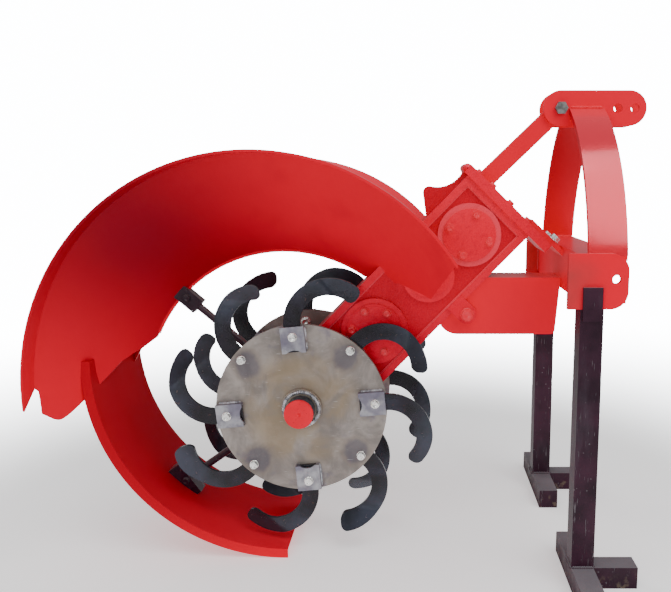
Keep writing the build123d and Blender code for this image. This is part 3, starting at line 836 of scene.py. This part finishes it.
def hood_seam(grow):
    """The line where the two leaning cones meet in the middle plane, and its directions outwards.

    At an angle t about the cone's axis point, k is the axis direction's share along t, and the
    distance is R / (sqrt(1 - k k) - k tan(flare)), with R the cone's radius moved out by grow.
    """
    t = np.radians(np.linspace(*SEAM_ENDS, SEAM_POINTS))
    ups = np.stack((np.cos(t), np.zeros_like(t), np.sin(t)), axis=1)
    k = ups @ LEAN
    reach = (CONE_RADIUS + grow / FLARE_COSINE) / (np.sqrt(1 - k * k) - k * FLARE)
    return shaft + (CONE_AT + reach[:, None] * ups) / 1000, ups


HITCH_X = 725.45
TOP_LINK = 860.34
BEAM_TOP = 467.34
BEAM_REAR = HITCH_X + 32
BEAM_BEAD_HEIGHTS = (BEAM_TOP - 118, BEAM_TOP - 4)
LINK_PLATE_OUT = 340
LEG_ENDS = (HITCH_X + 48, HITCH_X + 142)
LEG_TOP_OUT = 38.5
LEG_TOP_HEIGHTS = (TOP_LINK + 1.5, TOP_LINK - 32)
LEG_FOOT_OUT = 323.5
BRACE_FOOT_OUT = 26
BRACE_FOOT_ACROSS = (50, 98)
frame_beads = []
seam, seam_up = hood_seam(WING_SHEET)
frame_beads.append(bead(seam, seam_up, radius=0.006, pitch=0.007))
seam, seam_up = hood_seam(0)
frame_beads.append(bead(seam, -seam_up, radius=0.004, pitch=0.006))
for side in BOTH:
    for height in LEG_TOP_HEIGHTS:
        start, end = (at(x, side * LEG_TOP_OUT, height) for x in LEG_ENDS)
        frame_beads.append(bead(run(start, end), (0, side, 1), radius=0.0045))
    start, end = (at(x, side * LEG_FOOT_OUT, BEAM_TOP) for x in LEG_ENDS)
    frame_beads.append(bead(run(start, end), (0, -side, 1), radius=0.0045))
    start, end = (at(BEAM_REAR, side * LINK_PLATE_OUT, height) for height in BEAM_BEAD_HEIGHTS)
    frame_beads.append(bead(run(start, end), (-1, side, 0), radius=0.004))
    start, end = (on_case(FLANGE_FACE, side * BRACE_FOOT_OUT, across) for across in BRACE_FOOT_ACROSS)
    frame_beads.append(bead(run(start, end), case_forward, radius=0.004))
piece("frame_welds", frame_beads, "frame", frame_red)

# Weld beads round the posts on the feet of the stand
POST_X = HITCH_X + 55
POST_OUT = 325
POST_HALF = 30
FOOT_TOP = 60 - shaft[2] * 1000
ROUND_THE_POST = ((-1, -1), (1, -1), (1, 1), (-1, 1), (-1, -1))
stand_beads = []
for side in BOTH:
    corners = [
        at(POST_X + POST_HALF * ahead, side * POST_OUT + POST_HALF * aside, FOOT_TOP)
        for ahead, aside in ROUND_THE_POST
    ]
    for start, end in zip(corners[:-1], corners[1:]):
        stand_beads.append(bead(run(start, end), (0, 0, 1), radius=0.005, pitch=0.006))
piece("stand_welds", stand_beads, "frame", stand_black)

# Input shaft: the splines of its stub
SPLINES = 6
SPLINE_RADIUS = 18.2
SPLINE_HALF = 0.7
STUB_START = at(HITCH_X - 103, 0, BEAM_TOP - 171)
STUB_LENGTH = 0.0675
CHAMFER_FROM = 0.93
CHAMFER_DEPTH = 0.1


def splined_stub():
    """Flat-topped ridges round the end of the input shaft, carried along X.

    The radius at an angle t is R + h times 3 cos(n t), held between -1 and 1, for n splines, and it falls
    by a tenth over the chamfered end.
    """
    t = np.linspace(0, 2 * np.pi, 73)[:-1]
    share = np.linspace(0, 1, 12)
    crest = SPLINE_RADIUS + SPLINE_HALF * np.clip(3 * np.cos(SPLINES * t), -1, 1)
    taper = 1 - CHAMFER_DEPTH * np.clip((share - CHAMFER_FROM) / (1 - CHAMFER_FROM), 0, 1)
    around = np.stack((np.zeros_like(t), np.cos(t), np.sin(t)), axis=1)
    rings = crest[None, :, None] * taper[:, None, None] * around[None, :, :] / 1000
    along = share[:, None, None] * np.array((STUB_LENGTH, 0, 0))
    verts, faces = grid(STUB_START + rings + along, wrap_columns=True)
    faces.append(ring_face(len(verts) - len(t), len(t)))
    return verts, faces


piece("input_splines", [splined_stub()], "input_shaft", shaft_finish)

# Floor: full near the machine and clear far from it, in metres
FLOOR_HALF = 30
FLOOR_FULL = 1.2
FLOOR_CLEAR = 4.0
floor_corners = [(FLOOR_HALF * x, FLOOR_HALF * y, 0) for x, y in ((-1, -1), (1, -1), (1, 1), (-1, 1))]
floor_mesh = bpy.data.meshes.new("studio_floor")
floor_mesh.from_pydata(floor_corners, [], [(0, 1, 2, 3)])
studio_floor = bpy.data.objects.new("studio_floor", floor_mesh)
bpy.context.scene.collection.objects.link(studio_floor)
floor_finish = Finish("floor_finish")
pale = floor_finish.mix(tone("F4F4F2"), tone("FAFAFA"), floor_finish.noise(1.5, 2.0))
far = (floor_finish.x * floor_finish.x + floor_finish.y * floor_finish.y).root()
floor_mesh.materials.append(
    floor_finish.set(
        base_color=pale, roughness=0.6, alpha=far.between(FLOOR_CLEAR, FLOOR_FULL),
        emission_color=(1.0, 1.0, 1.0, 1.0), emission_strength=0.5,
    )
)

# A dim even room whose backdrop shows white
ROOM_STRENGTH = 0.26
BACKDROP_STRENGTH = 16.0
world = bpy.data.worlds.new("studio")
world.use_nodes = True
room = world.node_tree.nodes["Background"]
room.inputs["Color"].default_value = (0.95, 0.97, 1.0, 1.0)
seen = world.node_tree.nodes.new("ShaderNodeLightPath")
strength = world.node_tree.nodes.new("ShaderNodeMapRange")
strength.inputs["To Min"].default_value = ROOM_STRENGTH
strength.inputs["To Max"].default_value = BACKDROP_STRENGTH
world.node_tree.links.new(seen.outputs["Is Camera Ray"], strength.inputs["Value"])
world.node_tree.links.new(strength.outputs["Result"], room.inputs["Strength"])
bpy.context.scene.world = world


def soft_light(name, place, target, size, power, colour=(1.0, 1.0, 1.0)):
    """A rectangular panel of light that is turned to a target, its power in watts."""
    data = bpy.data.lights.new(name, "AREA")
    data.shape = "RECTANGLE"
    data.size, data.size_y = size
    data.energy = power
    data.color = colour
    lamp = bpy.data.objects.new(name, data)
    lamp.location = place
    lamp.rotation_euler = (Vector(target) - Vector(place)).to_track_quat("-Z", "Y").to_euler()
    bpy.context.scene.collection.objects.link(lamp)


COOL = (0.97, 0.98, 1.0)
soft_light("sky_panel", (-0.8, -0.4, 4.2), (0.0, 0.0, 0.5), (4.0, 3.4), 56, COOL)
soft_light("mast_panel", (2.05, -2.3, 3.85), (0.9, -0.2, 1.0), (2.6, 4.6), 122, COOL)
soft_light("front_panel", (-1.6, -4.6, 1.5), (0.0, 0.0, 0.5), (3.0, 2.2), 58)
soft_light("side_panel", (4.2, -0.6, 2.0), (0.3, 0.0, 0.6), (2.4, 2.2), 24)
soft_light("back_panel", (-2.8, 3.0, 2.6), (0.0, 0.0, 0.6), (2.4, 2.2), 44)

# The camera's frame is 671 by 592 pixels, and its lens is given by the frame's width
VIEW_WIDTH = 671
FOCAL_PIXELS = 740
SENSOR_WIDTH = 36.0
CAMERA_PLACE = (0.172, -2.208, 1.095)
CAMERA_DIP = 9.0
CAMERA_SHIFT = -0.115
camera_data = bpy.data.cameras.new("photo_view")
camera_data.sensor_width = SENSOR_WIDTH
camera_data.sensor_fit = "HORIZONTAL"
camera_data.lens = SENSOR_WIDTH * FOCAL_PIXELS / VIEW_WIDTH
camera_data.shift_x = CAMERA_SHIFT
camera = bpy.data.objects.new("photo_view", camera_data)
camera.location = CAMERA_PLACE
camera.rotation_euler = Euler((math.radians(90 - CAMERA_DIP), 0.0, 0.0))
bpy.context.scene.collection.objects.link(camera)
bpy.context.scene.camera = camera
